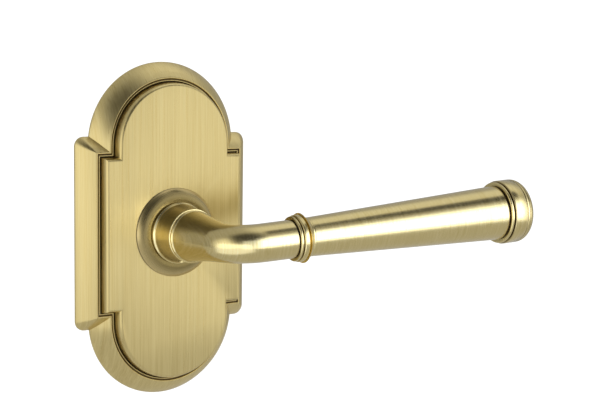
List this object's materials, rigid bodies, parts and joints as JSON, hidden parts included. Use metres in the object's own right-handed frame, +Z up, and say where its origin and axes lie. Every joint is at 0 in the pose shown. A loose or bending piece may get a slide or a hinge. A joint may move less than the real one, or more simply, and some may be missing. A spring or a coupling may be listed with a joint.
{
  "type": "lever handle lockset",
  "caption": "Exterior door lever set: arched and notched moulded plate, boss, turned lever with collars and end cap, return spring, posts and square spindle.",
  "frame": {"origin": "on the spindle axis, in the plane of the door's face that the plate rests on", "axes": "+Y into the door along the spindle, +Z up, +X along the lever towards its free end"},
  "size_m": [0.1467, 0.1175, 0.117],
  "materials": {
    "plate_brass": "satin, grain brushed up and down the panel",
    "turned_brass": "satin, brushed round the turned form",
    "lever_brass": "satin, fine brushing round the lever",
    "nylon": "natural moulded nylon",
    "zinc_steel": "bright zinc plate",
    "screw_steel": "zinc plated",
    "spring_steel": "oiled spring steel"
  },
  "bodies": {
    "plate": {"escutcheon_plate": "plate_brass", "boss_collar": "turned_brass", "boss_bushing": "nylon", "base_plate": "zinc_steel", "mounting_posts": "zinc_steel", "plate_screws": "screw_steel", "cassette_housing": "zinc_steel", "cassette_cover": "zinc_steel", "cassette_screws": "screw_steel", "stop_pins": "screw_steel", "rear_bushing": "nylon", "return_spring": "spring_steel"},
    "lever": {"lever_neck": "turned_brass", "lever_arm": "lever_brass", "arm_collar": "turned_brass", "collar_stud": "zinc_steel", "lever_grip": "lever_brass", "cap_ring": "turned_brass", "end_cap": "turned_brass", "cap_stud": "zinc_steel", "neck_set_screw": "screw_steel", "spindle": "zinc_steel", "driver_hub": "zinc_steel", "thrust_washer": "zinc_steel", "wave_washer": "spring_steel", "retaining_ring": "spring_steel"}
  },
  "joints": [
    {"name": "lever_turn", "type": "hinge", "parent": "plate", "child": "lever", "pos_m": [0, 0, 0], "axis": [0, 1, 0], "range_deg": [0, 50], "stiffness_Nm_per_rad": 1.2, "springref_deg": -34.38, "deforming": ["return_spring"]}
  ]
}
